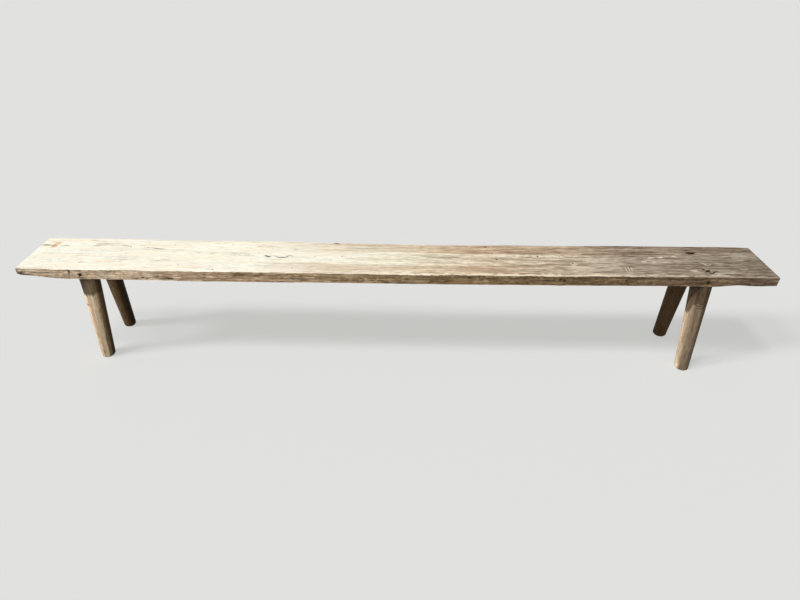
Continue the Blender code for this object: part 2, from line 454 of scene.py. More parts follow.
def in_metres(table):
    """The lengths of a table in metres instead of millimetres. Names stay as they are."""
    if isinstance(table, tuple):
        return tuple(in_metres(part) for part in table)
    return table if isinstance(table, str) else table / 1000


# Face, width, depth and course
CRACKS = in_metres((
    ("top", 4.6, 10, ((-1485, 73.5), (-1452, 72.5), (-1424, 73.5))),
    ("top", 2.4, 5, ((-1388, 70.8), (-1368, 71.6), (-1346, 70.6))),
    ("top", 3, 5, ((-1134, 74.4), (-1116, 73.6), (-1096, 72.8))),
    ("top", 4.4, 6, ((-1040, 64), (-995, 59), (-966, 54), (-945, 51))),
    ("top", 5.6, 7, ((-530, 15), (-521, 8), (-512, 1), (-500, 11))),
    ("top", 4.4, 6, ((-500, 11), (-484, 6), (-468, -2.5), (-444, -3), (-430, 12), (-412, 6))),
    ("top", 5.6, 10, ((1195, -46), (1205, -56), (1213, -67), (1219, -78), (1230, -74), (1248, -61))),
    ("top", 5.6, 10, ((1195, -76), (1211, -63), (1229, -50))),
    ("top", 8.5, 15, ((1186, 80), (1201, 79.4), (1217, 74))),
    ("top", 1.5, 5, ((-1246, -57), (-1236, -55.5), (-1224, -56))),
    ("top", 1.2, 4, ((1480, -21), (1430, -19), (1385, -20.5))),
    ("top", 1, 4, ((1480, 62), (1440, 64), (1412, 63))),
    ("top", 1.2, 5, ((-1480, -33), (-1448, -34), (-1420, -32.5))),
    ("front", 2.6, 7, ((-1263, 444), (-1266, 425), (-1263, 402))),
    ("front", 2, 5, ((-1262, 424), (-1247, 421.5), (-1232, 418))),
    ("front", 1.8, 5, ((860, 425), (905, 423.5), (960, 421))),
    ("front", 1.6, 5, ((-730, 414), (-650, 417), (-560, 416.5))),
    ("front", 1.4, 4, ((120, 416), (230, 419), (330, 417.5))),
    ("under", 1.6, 8, ((-700, -23), (-350, -19), (-50, -25), (260, -21))),
    ("under", 1.2, 6, ((480, 42), (730, 38), (930, 41))),
))

# Face, place in it, half lengths along X and Y, and depth
HOLLOWS = in_metres((
    ("front", -1224.5, 412.5, 9.5, 6.2, 7), ("front", -1244, 420, 11, 5, 2.8),
    ("front", 1206, 413.5, 8, 6.8, 9), ("front", 645, 418.5, 10, 4.2, 4), ("front", 1093, 436, 6, 5, 4),
    ("front", -1006, 399, 12, 4.5, 4), ("front", -965, 401, 9, 4, 4.5),
    ("front", -893, 403, 14, 4.5, 4.5), ("top", 1065, 40, 28, 7, 1), ("top", 1008, 15, 22, 8.5, 1),
    ("top", 1125, 30, 16, 6, 0.9), ("top", 1210, -45, 22, 6, 1), ("top", 1260, -85, 24, 6.5, 1.1),
    ("top", 700, -16, 4.5, 4, 3.5),
))

# Holes that insects bored: face, place in it, and radius
BORES = in_metres((
    ("top", 367, 108, 4), ("top", 401, 4, 4.2), ("top", 389, 52.5, 3.2), ("top", 570, 35, 4.2),
    ("top", 659, 37, 2.6), ("top", -1095, 70, 3.2), ("top", -1090, 13, 2.2), ("top", -1027, 101, 2.2),
    ("top", -920, 92, 2.6), ("top", -853, -67, 2.8), ("top", -707, -105, 2.8), ("top", -680, 98, 2.2),
    ("top", -631, 12, 1.8), ("top", -578, -20, 2.2), ("top", -508, 68, 1.8), ("top", -403, -77, 2.6),
    ("top", -327, 10, 2.6), ("top", -218, 12, 2.6), ("front", -310, 421, 1.8), ("front", 420, 412, 1.8),
    ("front", 785, 408, 1.6),
))


def on_path(points, share):
    """A place on a line of points and the direction square to it there."""
    spans = [(Vector(b) - Vector(a)).length for a, b in zip(points, points[1:])]
    run = share * sum(spans)
    for (a, b), span in zip(zip(points, points[1:]), spans):
        if run <= span + 1e-9:
            break
        run -= span
    along = (Vector(b) - Vector(a)) / span
    return Vector(a) + along * run, Vector((-along.y, along.x))


def crack_blade(width, depth, points):
    """A thin blade that follows a crack, widest at its middle and ragged on both sides."""
    bm = block(0, CRACK_STEPS)
    for vert in bm.verts:
        share = vert.co.x + 0.5
        centre, sideways = on_path(points, share)
        gape = 0.12 + 0.88 * math.sin(math.pi * share) ** 0.7
        place = Vector((centre.x, centre.y, 0))
        ragged = 1 + 0.7 * waver(place, 320, 320, 2.0 + vert.co.y)
        drift = 0.5 * width * waver(place, 150, 150, 9.0)
        outside = vert.co.z > 0
        half = width * gape * ragged * (0.62 if outside else 0.12)
        across = centre + sideways * (drift + (half if vert.co.y > 0 else -half))
        vert.co = (*across, 0.002 if outside else -depth * (0.35 + 0.65 * gape))
    return bm


def hollow_bowl(x, y, *size):
    """A shallow bowl with an uneven rim."""
    bm = bmesh.new()
    bmesh.ops.create_icosphere(bm, subdivisions=3, radius=1.0)
    for vert in bm.verts:
        uneven = 1 + 0.45 * noise.noise(vert.co * 1.9 + Vector((x * 31, 0, 0)))
        vert.co = vert.co * Vector(size) * uneven
    bmesh.ops.translate(bm, vec=(x, y, 0), verts=bm.verts)
    return bm


def bored_hole(x, y, radius):
    bm = rod(radius * 0.7, radius, -BORE_DEPTH, 0.002, 12)
    bmesh.ops.translate(bm, vec=(x, y, 0), verts=bm.verts)
    return bm


def mark_edges(seat):
    """Keep each point's distance from the nearer long edge for the material."""
    layer = seat.data.attributes.new("to_edge", "FLOAT", "POINT")
    distances = []
    for vert in seat.data.vertices:
        across = vert.co.y - SEAT_MIDDLE_Y
        distances.append(edge_distance(vert.co.x, across) - abs(across))
    layer.data.foreach_set("value", distances)


def tenon_rod(gap):
    radius = TENON_RADIUS + gap
    return rod(radius, radius, -PLANK_THICKNESS - OVERRUN, OVERRUN, TENON_SIDES)


def make_seat(material):
    bm = seat_blank()
    roughen_seat(bm)
    seat = new_piece("bench_seat", bm, material, "plank_wood", "seat_plank")
    cutters = new_cutters("seat_cuts")
    for leg in LEGS:
        add_cutter(cutters, tenon_rod(FIT_GAP), leg_frame(leg))
        add_cutter(cutters, peg_hole(leg), peg_frame(leg))
    cuts = ((CRACKS, crack_blade), (HOLLOWS, hollow_bowl), (BORES, bored_hole))
    for table, make_cutter in cuts:
        for face, *sizes in table:
            add_cutter(cutters, make_cutter(*sizes), FACES[face])
    apply_cutters(seat, cutters)
    mark_edges(seat)
    smooth(seat, 38)
    return seat


# Legs, wedges and pegs

def flats(angle, z):
    """How far a shaved leg's surface lies from its axis, as a share of its radius."""
    facet = 2 * math.pi / LEG_FLATS
    uneven = angle + 0.10 * math.sin(3 * angle + 1.0) + 0.25 * math.sin(5 * z)
    from_middle = (uneven % facet) - facet / 2
    flat = math.cos(facet / 2) / math.cos(from_middle)
    return 1 + FLAT_SHARPNESS * (flat - 1)


def shaved(point, leg):
    """Move a point of a leg's round taper to the shaved surface."""
    angle = math.atan2(point.y, point.x)
    seed = 13.0 * leg.end + 5.0 * leg.side
    place = Vector((point.z, 0.03 * math.cos(angle), 0.03 * math.sin(angle)))
    share = flats(angle, point.z + 0.3 * leg.end)
    share += 0.012 * waver(place, 7, 55, seed)
    share += 0.007 * waver(place, 18, 190, seed + 3)
    bow = leg.bow * ease((-point.z - PLANK_THICKNESS) / 0.05)
    return Vector((point.x * share + bow, point.y * share, point.z))


def round_foot(bm, leg):
    """Draw the leg in near the floor, on rings that stand close together there."""
    for ring in range(1, FOOT_RINGS + 1):
        slice_level(bm, leg.rounding * (1 - math.cos(math.pi / 2 * ring / FOOT_RINGS)))
    for vert in bm.verts:
        drop = min(leg.rounding, leg.rounding - vert.co.z)
        if drop > 0:
            inward = leg.rounding - math.sqrt(leg.rounding**2 - drop**2)
            outward = (vert.co - axis_at(leg, vert.co.z)).xy.normalized()
            vert.co -= outward.to_3d() * inward


def leg_blank(leg):
    """The leg below the plank, cut level at the floor and at its shoulder."""
    place = leg_frame(leg)
    low, high = ((place.inverted() @ point).z for point in leg_points(leg))
    past = (LEG_TOP_RADIUS - LEG_FOOT_RADIUS) / (high - low) * OVERRUN
    radii = (LEG_FOOT_RADIUS - past) * leg.full, (LEG_TOP_RADIUS + past) * leg.full
    bm = rod(*radii, low - OVERRUN, high + OVERRUN, LEG_SIDES)
    split(bm, 2, high - low, LEG_RINGS)
    for vert in bm.verts:
        vert.co = shaved(vert.co, leg)
    turn_to(bm, place)
    round_foot(bm, leg)
    cut_level(bm, 0, -1)
    cut_level(bm, UNDERSIDE - FIT_GAP)
    return bm


def taper_block(width, gap, depth, parts):
    """A block along X whose sides close in downwards as the wedge's do, plus a gap."""
    slope = (WEDGE_THICKNESS - WEDGE_TIP_THICKNESS) / WEDGE_DEPTH
    bm = block(0, parts)
    for vert in bm.verts:
        z = OVERRUN if vert.co.z > 0 else -depth
        thickness = WEDGE_THICKNESS + slope * z + 2 * gap
        vert.co = Vector((vert.co.x * width, vert.co.y * thickness, z))
    return bm


# Drying cracks in each leg: the angle round it, how high they start and end, and width
LEG_CRACKS = {
    "front_left": ((-2.05, 0.10, 0.33, 0.0016), (-0.75, 0.0, 0.14, 0.0014)),
    "front_right": ((-1.25, 0.03, 0.21, 0.0013), (0.9, 0.15, 0.39, 0.0016)),
    "back_left": ((-1.6, 0.0, 0.17, 0.0015), (1.2, 0.18, 0.39, 0.0016)),
    "back_right": ((-1.9, 0.12, 0.39, 0.0014), (0.4, 0.0, 0.2, 0.0016)),
}


def leg_crack(leg, angle, low, high, width):
    """A blade that opens a lengthwise crack in a leg, made upright and then leaned."""
    bm = block(2, CRACK_STEPS)
    top = leg_points(leg)[1]
    outward = Vector((math.cos(angle), math.sin(angle), 0))
    sideways = Vector((-outward.y, outward.x, 0))
    for vert in bm.verts:
        share = vert.co.z + 0.5
        z = low + (high - low) * share
        gape = 0.1 + 0.9 * math.sin(math.pi * share) ** 0.7
        radius = LEG_FOOT_RADIUS + (LEG_TOP_RADIUS - LEG_FOOT_RADIUS) * z / top.z
        outside = vert.co.x > 0
        reach = radius * leg.full + (0.002 if outside else -0.007 * gape)
        half = width * gape * (0.6 if outside else 0.1) * (1 if vert.co.y > 0 else -1)
        drift = 0.0022 * noise.noise(Vector((z * 22, angle, 0)))
        vert.co = axis_at(leg, z) + outward * reach + sideways * (half + drift)
    return bm


def make_leg(leg, material):
    bm = leg_blank(leg)
    piece = new_piece("bench_leg_" + leg.name, bm, material, "leg_wood", "leg_" + leg.name)
    place = leg_frame(leg)
    tenon = tenon_rod(0.0)
    turn_to(tenon, place)
    cut_level(tenon, SEAT_HEIGHT - TENON_SET_BACK)
    joined = new_cutters("tenon")
    add_cutter(joined, tenon)
    apply_cutters(piece, joined, "UNION")
    cutters = new_cutters("leg_cuts")
    across_tenon = 2 * (TENON_RADIUS + OVERRUN)
    add_cutter(cutters, taper_block(across_tenon, FIT_GAP, WEDGE_DEPTH + FIT_GAP, 1), place)
    add_cutter(cutters, peg_hole(leg), peg_frame(leg))
    for crack in LEG_CRACKS[leg.name]:
        add_cutter(cutters, leg_crack(leg, *crack))
    for face, width, depth, points in CRACKS:
        away = [(Vector(point) - place.translation.xy).length for point in points]
        if face == "top" and min(away) < TENON_RADIUS:
            add_cutter(cutters, crack_blade(width, depth, points), FACES[face])
    apply_cutters(piece, cutters)
    smooth(piece, 35)
    return piece


def make_wedge(leg, material):
    """A split wedge, a little rough, and as wide as the mortise lets it be."""
    width = 2 * math.sqrt(TENON_RADIUS**2 - (WEDGE_THICKNESS / 2) ** 2)
    bm = taper_block(width, -FIT_GAP / 2, WEDGE_DEPTH, 14)
    split(bm, 2, WEDGE_DEPTH, 12)
    for vert in bm.verts:
        vert.co.y += 0.00022 * waver(vert.co, 160, 90, 3.0 + leg.turn)
    turn_to(bm, leg_frame(leg))
    cut_level(bm, SEAT_HEIGHT - leg.sunk * WEDGE_SET_BACK)
    name = "bench_wedge_" + leg.name
    piece = new_piece(name, bm, material, "wedge_wood", "wedge_" + leg.name)
    smooth(piece, 30)
    return piece


def peg_frame(leg):
    """Z runs from the tenon's axis out through the plank's nearer long edge."""
    centre = axis_at(leg, SEAT_HEIGHT - PEG_DROP)
    centre.x += leg.peg_shift * PEG_SHIFT
    return Matrix.Translation(centre) @ Matrix.Rotation(-leg.side * math.pi / 2, 4, "X")


def peg_reach(leg):
    """How far from the tenon's axis the peg starts and ends."""
    centre = axis_at(leg, SEAT_HEIGHT - PEG_DROP)
    edge = edge_distance(centre.x + leg.peg_shift * PEG_SHIFT, leg.side)
    outer = edge - abs(centre.y - SEAT_MIDDLE_Y)
    return TENON_RADIUS - PEG_BITE, outer - PEG_SET_IN


def peg_hole(leg):
    inner, outer = peg_reach(leg)
    radius = PEG_RADIUS + FIT_GAP
    return rod(radius, radius, inner - FIT_GAP, outer + PEG_SET_IN + OVERRUN, PEG_SIDES)


def make_peg(leg, material):
    """A whittled peg: a many-sided rod with a rounded, broken end."""
    inner, outer = peg_reach(leg)
    bm = rod(PEG_RADIUS, PEG_RADIUS, inner, outer, PEG_SIDES)
    split(bm, 2, outer - inner, 12)
    rims = []
    for edge in bm.edges:
        low, high = sorted(vert.co.z for vert in edge.verts)
        if high - low < FIT_GAP and not inner + FIT_GAP <= low <= outer - FIT_GAP:
            rims.append(edge)
    bevel(bm, rims, PEG_ROUNDING)
    for vert in bm.verts:
        angle = math.atan2(vert.co.y, vert.co.x)
        share = 0.975 + 0.022 * math.cos(7 * angle + 40 * vert.co.z)
        vert.co.x *= share
        vert.co.y *= share
    turn_to(bm, peg_frame(leg))
    piece = new_piece("bench_peg_" + leg.name, bm, material, "peg_wood", "peg_" + leg.name)
    smooth(piece, 35)
    return piece


# Node helpers

ORIGIN = (0.0, 0.0, 0.0)
MIDDLE = (0.5, 0.5, 0.5)
SOCKETS = {"VALUE": "NodeSocketFloat", "VECTOR": "NodeSocketVector", "RGBA": "NodeSocketColor"}


def shade(*rgb):
    """A colour as a screen shows it, 0 to 255, made linear."""
    parts = [value / 255 for value in rgb]
    return tuple(((v + 0.055) / 1.055) ** 2.4 if v > 0.04 else v / 12.92 for v in parts)


def shades(*stops):
    return tuple((place, *shade(*rgb)) for place, *rgb in stops)


def connect(socket, value):
    """Link a socket to another node's output, or set it to a number, place or colour."""
    if isinstance(value, Value):
        socket.id_data.links.new(value.socket, socket)
    elif socket.type == "RGBA" and len(value) == 3:
        socket.default_value = (*value, 1.0)
    else:
        socket.default_value = value


def add_node(kind, inputs=(), tree=None, **settings):
    """Add a node. Gives its outputs, by number and by name."""
    inputs = dict(inputs)
    if tree is None:
        tree = next(value.tree for value in inputs.values() if isinstance(value, Value))
    node = tree.nodes.new("ShaderNode" + kind)
    for setting, value in settings.items():
        setattr(node, setting, value)
    for socket, value in inputs.items():
        connect(node.inputs[socket], value)
    outputs = {socket.name: Value(socket) for socket in node.outputs}
    outputs.update({number: Value(socket) for number, socket in enumerate(node.outputs)})
    return outputs


def calc(operation, first, second=0.0):
    return add_node("Math", {0: first, 1: second}, operation=operation)[0]


class Value:
    """What a node gives. Sums, differences and products of values are nodes too."""

    def __init__(self, socket):
        self.socket = socket
        self.tree = socket.id_data

    def __add__(self, other):
        return calc("ADD", self, other)

    def __sub__(self, other):
        return calc("SUBTRACT", self, other)

    def __rsub__(self, other):
        return calc("SUBTRACT", other, self)

    def __mul__(self, other):
        return calc("MULTIPLY", self, other)

    def span(self, low, high, start=0.0, end=1.0):
        """Ease from start to end as this value goes from low to high."""
        inputs = {"Value": self, 1: low, 2: high, 3: start, 4: end}
        return add_node("MapRange", inputs, interpolation_type="SMOOTHSTEP")[0]


def vector(operation, first, second=ORIGIN):
    inputs = {0: first, 3 if operation == "SCALE" else 1: second}
    outputs = add_node("VectorMath", inputs, operation=operation)
    return outputs["Value" if operation in ("LENGTH", "DISTANCE") else "Vector"]


def axes(place):
    """The X, Y and Z of a place."""
    parts = add_node("SeparateXYZ", {0: place})
    return parts[0], parts[1], parts[2]


def stretched(place, across, along):
    """A place with its own pace across the grain and along it."""
    pace = add_node("CombineXYZ", {0: across, 1: across, 2: along})[0]
    return vector("MULTIPLY", place, pace)


def cloud(place, scale=1.0, detail=2.0):
    return add_node("TexNoise", {"Vector": place, "Scale": scale, "Detail": detail})


def weighed(*parts):
    """The sum of values, each times its weight."""
    total = 0.0
    for value, weight in parts:
        total = add_node("Math", {0: value, 1: weight, 2: total}, operation="MULTIPLY_ADD")[0]
    return total


def mix(share, first, second, mode="MIX"):
    inputs = {0: share, 6: first, 7: second}
    return add_node("Mix", inputs, data_type="RGBA", blend_type=mode)[2]


def tint(colour, share, shadow):
    """A colour darkened by a shadow where the share is 1."""
    return mix(share, colour, shadow, "MULTIPLY")


def ramp(value, stops):
    """A colour for each value, from rows of a place and a colour."""
    node = value.tree.nodes.new("ShaderNodeValToRGB")
    connect(node.inputs[0], value)
    steps = node.color_ramp.elements
    while len(steps) < len(stops):
        steps.new(1.0)
    for step, (place, *colour) in zip(steps, stops):
        step.position = place
        step.color = (*colour, 1.0)
    return Value(node.outputs[0])


def node_group(function):
    """Make a function a node group, whose inputs have the function's names and order."""
    group = bpy.data.node_groups.new(function.__name__, "ShaderNodeTree")
    parameters = inspect.signature(function).parameters
    for label, parameter in parameters.items():
        kind = SOCKETS["VECTOR" if isinstance(parameter.default, tuple) else "VALUE"]
        socket = group.interface.new_socket(label, in_out="INPUT", socket_type=kind)
        socket.default_value = parameter.default
    taken = group.nodes.new("NodeGroupInput").outputs
    results = function(*(Value(taken[label]) for label in parameters))
    for label, value in results.items():
        kind = SOCKETS[value.socket.type]
        group.interface.new_socket(label, in_out="OUTPUT", socket_type=kind)
    given = group.nodes.new("NodeGroupOutput").inputs
    for label, value in results.items():
        connect(given[label], value)

    def placed(place, *values):
        inputs = zip(parameters, (place, *values))
        outputs = add_node("Group", inputs, place.tree, node_tree=group)
        return outputs if len(results) > 1 else outputs[0]

    return placed


# Effects that several woods share. In each, the grain runs along the place's Z. Calls give
# the numbers in the order of the function's line, for as many as they need.

@node_group
def streaks(place=ORIGIN, across=100.0, along=5.0, offset=0.0, detail=2.0, low=0.35, high=0.65):
    """Streaks drawn out along the grain, between 0 and 1."""
    shift = add_node("CombineXYZ", {0: offset, 2: offset})[0]
    place = vector("ADD", stretched(place, across, along), shift)
    return {"mask": cloud(place, 1.0, detail)["Fac"].span(low, high)}


@node_group
def bent_grain(place=ORIGIN, pace=7.0, reach=0.01):
    """Push places sideways to the grain, so that its lines bend."""
    push = vector("SUBTRACT", cloud(place, pace, 1.0)["Color"], MIDDLE)
    push = vector("SCALE", vector("MULTIPLY", push, (1.0, 1.0, 0.0)), reach)
    return {"place": vector("ADD", place, push)}


@node_group
def growth_rings(place=ORIGIN, scale=40.0, wander=0.02, wobble=2.0):
    """Growth rings round a wandering pith: 0 in early wood, rising to 1 in late wood."""
    drift = cloud(vector("MULTIPLY", place, (6.0, 6.0, 1.3)), 1.0, 1.5)["Color"]
    drift = vector("SCALE", vector("SUBTRACT", drift, MIDDLE), wander)
    place = vector("MULTIPLY", vector("ADD", place, drift), (1.0, 1.0, 0.05))
    inputs = {"Vector": place, "Scale": scale, "Distortion": wobble, "Detail": 2.0,
              "Detail Scale": 0.35, "Detail Roughness": 0.55}
    wave = add_node("TexWave", inputs, wave_type="RINGS", rings_direction="Z",
                    wave_profile="SAW")
    return {"ring": wave["Fac"]}


@node_group
def ragged_patch(place=ORIGIN, centre=ORIGIN, size=(0.1, 0.1, 0.1), rough=0.5, ragged=0.6,
                 soft=0.5):
    """A patch with a rim made ragged by what is rough: 1 inside it and 0 outside."""
    place = vector("DIVIDE", vector("SUBTRACT", place, centre), size)
    reach = vector("LENGTH", place) + (rough - 0.5) * ragged
    return {"mask": reach.span(1.0 - soft, 1.0, 1.0, 0.0)}


@node_group
def scattered_specks(place=ORIGIN, density=60.0, size=0.2, share=0.3):
    """Round specks of many sizes, such as flecks of dirt and pin holes."""
    cells = add_node("TexVoronoi", {"Vector": place, "Scale": density})
    chance = add_node("SeparateColor", {0: cells["Color"]})
    size = size * chance[1]
    spot = cells["Distance"].span(size * 0.5, size, 1.0, 0.0)
    return {"mask": spot * calc("LESS_THAN", chance[0], share)}


@node_group
def drying_hairlines(place=ORIGIN, across=55.0, along=1.6, width=0.02, share=0.5):
    """Fine drying cracks along the grain, in some places only."""
    wave = cloud(stretched(place, across, along), 1.0, 3.0)["Fac"]
    line = calc("ABSOLUTE", wave - 0.5).span(0.0, width, 1.0, 0.0)
    gate = streaks(place, 18, 2.2, 5)
    return {"mask": line * calc("GREATER_THAN", gate, share)}


def along_bench(x):
    """0 at the plank's left end and 1 at its right end."""
    return add_node("MapRange", {"Value": x, 1: -HALF_LENGTH, 2: HALF_LENGTH})[0]


# Colours of the top along the bench, from its left end to its right end: bleached by the weather,
# with a painted sheen that makes the left end nearly white
TOP_COLOURS = shades(
    (0, 255, 252, 236), (0.3, 255, 252, 236), (0.42, 255, 252, 235), (0.5, 255, 252, 232),
    (0.6, 246, 231, 205), (0.72, 229, 215, 193), (0.84, 184, 170, 153), (0.94, 163, 150, 132),
    (1, 152, 139, 122),
)


@node_group
def sun_bleach(place=ORIGIN):
    """The colour of what faces up, by its place along the bench: what sun and rain gave it, with a
    painted sheen towards the left end.
    """
    uneven = cloud(vector("MULTIPLY", place, (2.2, 9.0, 9.0)))["Fac"]
    share = along_bench(axes(place)[0]) + (uneven - 0.5) * 0.16
    return {"colour": ramp(share, TOP_COLOURS), "wear": share.span(0.30, 0.75)}


def new_wood(name, specular):
    """A new material, its shader, and the places on the object."""
    material = bpy.data.materials.new(name)
    material.use_nodes = True
    shader = material.node_tree.nodes["Principled BSDF"]
    shader.inputs["Metallic"].default_value = 0.0
    shader.inputs["Specular IOR Level"].default_value = specular
    return material, shader, add_node("TexCoord", tree=material.node_tree)["Object"]


def along_grain(place, origin, turn):
    """Turn places so that the grain runs along Z from an origin."""
    inputs = {"Vector": place, "Location": origin, "Rotation": turn}
    return add_node("Mapping", inputs, vector_type="TEXTURE")[0]


def finish_wood(shader, colour, roughness, height, bump, depth):
    relief = add_node("Bump", {"Height": height, "Strength": bump, "Distance": depth})[0]
    results = {"Base Color": colour, "Roughness": roughness, "Normal": relief}
    for label, value in results.items():
        connect(shader.inputs[label], value)


# Colours of the plank's brown sides, and of the chalky flecks on them, from left to right
SIDE_COLOURS = shades(
    (0, 228, 204, 174), (0.09, 248, 223, 190), (0.17, 246, 222, 190), (0.24, 224, 196, 162),
    (0.36, 206, 180, 144), (0.5, 180, 156, 120), (0.64, 158, 134, 98), (0.78, 146, 122, 90),
    (1, 144, 124, 102),
)
CHALKED = shades(
    (0, 250, 232, 208), (0.4, 236, 212, 176), (0.7, 186, 164, 124), (1, 176, 156, 130),
)

ORANGE = shade(232, 186, 122)
TAN = shade(214, 176, 134)
PINK = shade(216, 182, 164)
GREY = shade(146, 144, 116)
PALE = shade(222, 211, 190)
CHALK = shade(242, 232, 210)
DARK = shade(64, 52, 40)
RUST = shade(210, 164, 128)
CREAM = shade(208, 186, 142)

# Marks on the top: colour, place along and across the bench and half lengths in
# millimetres, strength in percent, and raggedness and softness in tenths. The dark marks
# over cracks, bored holes and the hollow paint the shade inside them
MARKS = (
    (GREY, -1444, 73, 26, 8, 70, 5, 8), (GREY, -1366, 71, 24, 5, 50, 6, 9),
    (TAN, -1413, 67, 15, 17, 95, 7, 8), (ORANGE, -1404, 88, 14, 18, 75, 7, 8),
    (ORANGE, -1426, 98, 12, 10, 35, 9, 8), (PINK, -1233, 73.5, 24, 6.5, 75, 7, 8),
    (GREY, -1170, 73, 24, 6, 20, 7, 8), (PINK, -1265, 117, 20, 5, 50, 7, 8),
    (PINK, -1205, 105, 60, 4, 35, 7, 8), (PINK, -1210, 90, 40, 4, 35, 7, 8),
    (DARK, -1236, -56, 16, 7, 34, 10, 9), (DARK, -1228, -78, 8, 5, 16, 7, 8),
    (ORANGE, -1130, -55, 60, 9, 42, 10, 9), (ORANGE, -1080, -78, 28, 12, 24, 7, 9),
    (DARK, -970, 53, 30, 4.5, 30, 8, 8), (GREY, -890, 45, 30, 4.5, 30, 8, 9),
    (GREY, -800, 24, 12, 8, 35, 8, 9), (GREY, -745, 24, 16, 8, 25, 8, 9),
    (ORANGE, -780, -88, 50, 12, 22, 8, 9), (ORANGE, -715, 72, 30, 6, 26, 8, 9),
    (DARK, -590, 10, 22, 4.5, 34, 10, 9), (GREY, -640, 20, 60, 16, 22, 10, 9),
    (DARK, -520, 7, 12, 7, 55, 9, 7), (DARK, -455, -2, 20, 5, 40, 9, 8),
    (DARK, -425, 13, 14, 4, 26, 9, 8), (GREY, -475, -20, 30, 5, 30, 9, 8),
    (ORANGE, -540, 88, 50, 14, 24, 8, 9), (DARK, -250, 120, 16, 6, 80, 6, 7),
    (GREY, 205, 13, 80, 7, 50, 9, 8), (GREY, 155, 13, 15, 7, 50, 9, 8),
    (GREY, -20, -6, 80, 4.5, 28, 9, 8), (PALE, 300, 12, 60, 20, 35, 12, 8),
    (DARK, 367, 109, 7, 7, 60, 5, 6), (CHALK, 430, 38, 90, 14, 65, 12, 9),
    (CHALK, 610, 37, 110, 15, 60, 12, 9), (PALE, 1230, 42, 60, 16, 16, 12, 9),
    (PALE, 1400, 56, 80, 40, 30, 12, 9), (DARK, 1000, -30, 80, 15, 14, 12, 9),
    (TAN, -120, 113, 200, 11, 34, 10, 9), (TAN, -160, -80, 260, 14, 26, 10, 9),
    (DARK, 800, -85, 80, 12, 14, 12, 9), (PALE, 800, -28, 80, 12, 25, 12, 9),
    (DARK, 1000, 45, 70, 12, 18, 12, 9), (DARK, 1180, 95, 100, 16, 20, 12, 9),
    (DARK, 1420, -60, 90, 50, 20, 12, 9), (PALE, 703, -27, 14, 16, 60, 12, 7),
    (DARK, 700, -15, 4, 6, 55, 4, 7), (DARK, 570, 35, 5, 5, 50, 4, 7),
    (PALE, 860, -48, 40, 24, 26, 14, 9), (PALE, 899, -55, 3.3, 15, 65, 7, 8),
    (PALE, 910, -53, 3.3, 16, 65, 7, 8), (PALE, 920, -54, 3, 13, 50, 7, 8),
    (DARK, 904, -54, 2.6, 15, 45, 7, 8), (DARK, 915, -53, 2.6, 14, 35, 7, 8),
    (DARK, 401, 4.1, 5, 5, 55, 4, 7), (DARK, 389, 52.5, 5, 4.5, 40, 4, 7),
    (DARK, -1116, 73.6, 20, 4, 30, 8, 8), (PALE, 993, 6.7, 14, 7, 60, 10, 7),
    (PALE, 1025, 37, 14, 6, 75, 14, 7), (PALE, 1066, 42, 20, 6.5, 90, 14, 7),
    (PALE, 1092, 50, 14, 5, 60, 14, 7), (PALE, 1125, 50, 14, 6, 75, 14, 7),
    (PALE, 1027, 1.7, 11, 7.5, 65, 12, 7), (PALE, 1082, 0, 20, 5, 45, 12, 8),
    (PALE, 1140, 67, 32, 5, 50, 12, 8), (PALE, 1208, 4, 6, 4, 70, 14, 8),
    (PALE, 1217, -4, 6, 4, 70, 14, 8), (PALE, 1225, -11, 6, 4.5, 75, 14, 8),
    (PALE, 1234, -19, 8, 4, 65, 14, 8), (PALE, 1245, -11, 6, 4, 50, 14, 8),
    (PALE, 1160, -63, 22, 9, 50, 12, 8), (PALE, 1238, -96, 58, 8.5, 65, 14, 8),
    (PALE, 1251, -83, 22, 9, 55, 12, 8), (PALE, 1265, 68, 20, 5, 40, 12, 8),
    (PALE, 1300, -75, 80, 4, 35, 12, 8), (DARK, 1202, 79, 16, 7.2, 100, 3, 3.5),
    (DARK, 1200, 105, 22, 7, 32, 10, 9), (DARK, 1208, 53, 12, 4.5, 42, 8, 8),
    (DARK, 1203, 27, 14, 4.5, 36, 8, 8), (DARK, 1211, -63, 9, 8, 95, 10, 5),
    (DARK, 1199, -50, 8, 5, 80, 8, 7), (DARK, 1220, -76.5, 9, 6, 90, 8, 6),
    (DARK, 1240, -66.5, 12, 4.5, 80, 8, 7), (DARK, 1440, 100, 30, 30, 8, 16, 9),
)
